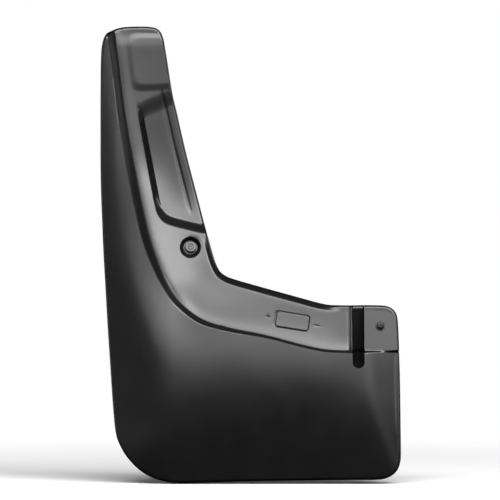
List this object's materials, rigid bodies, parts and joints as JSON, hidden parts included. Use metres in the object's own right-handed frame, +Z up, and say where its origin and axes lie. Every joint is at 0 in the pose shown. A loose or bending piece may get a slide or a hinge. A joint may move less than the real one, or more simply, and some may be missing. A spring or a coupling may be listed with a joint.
{
  "type": "mud flap",
  "caption": "Moulded black mud flap with a long upper arm, recessed fixing flange, retainer seat and screw tab, with its push-in retainer, screw set and foam pads.",
  "frame": {"origin": "centre of the bottom of the part's box", "axes": "+Z up along the arm, the visible face looks along -Y, +X runs from the arm towards the screw tab"},
  "size_m": [0.2692, 0.0898, 0.411],
  "materials": {
    "moulded_black": "satin black moulded thermoplastic, very fine grain, light scuffs",
    "retainer_black": "satin black nylon",
    "black_steel": "black coated steel",
    "zinc_steel": "zinc-plated spring steel",
    "foam_black": "closed-cell foam with a smooth adhesive skin"
  },
  "bodies": {
    "flap": {"flap_moulding": "moulded_black", "knee_retainer_sleeve": "retainer_black", "tab_clip_nut": "zinc_steel", "upper_tape_pad": "foam_black", "lower_tape_pad": "foam_black", "flange_tape_pad": "foam_black"},
    "retainer_pin": {"knee_retainer_pin": "retainer_black"},
    "washer": {"tab_washer": "black_steel"},
    "screw": {"tab_screw": "black_steel"}
  },
  "joints": [
    {"name": "retainer_pin_pull", "type": "slide", "parent": "flap", "child": "retainer_pin", "axis": [0.1137, -0.935, 0.336], "range_m": [0, 0.007]},
    {"name": "tab_screw_lift", "type": "slide", "parent": "flap", "child": "washer", "axis": [0.1156, -0.9636, 0.2409], "range_m": [0, 0.016]},
    {"name": "tab_screw_turn", "type": "hinge", "parent": "washer", "child": "screw", "pos_m": [0.11651, -0.02411, 0.1402], "axis": [0.1156, -0.9636, 0.2409], "range_deg": [0, 4114.8]}
  ],
  "couplings": [
    {"joint": "tab_screw_turn", "follows": "tab_screw_lift", "rad_per_m": 4488}
  ]
}
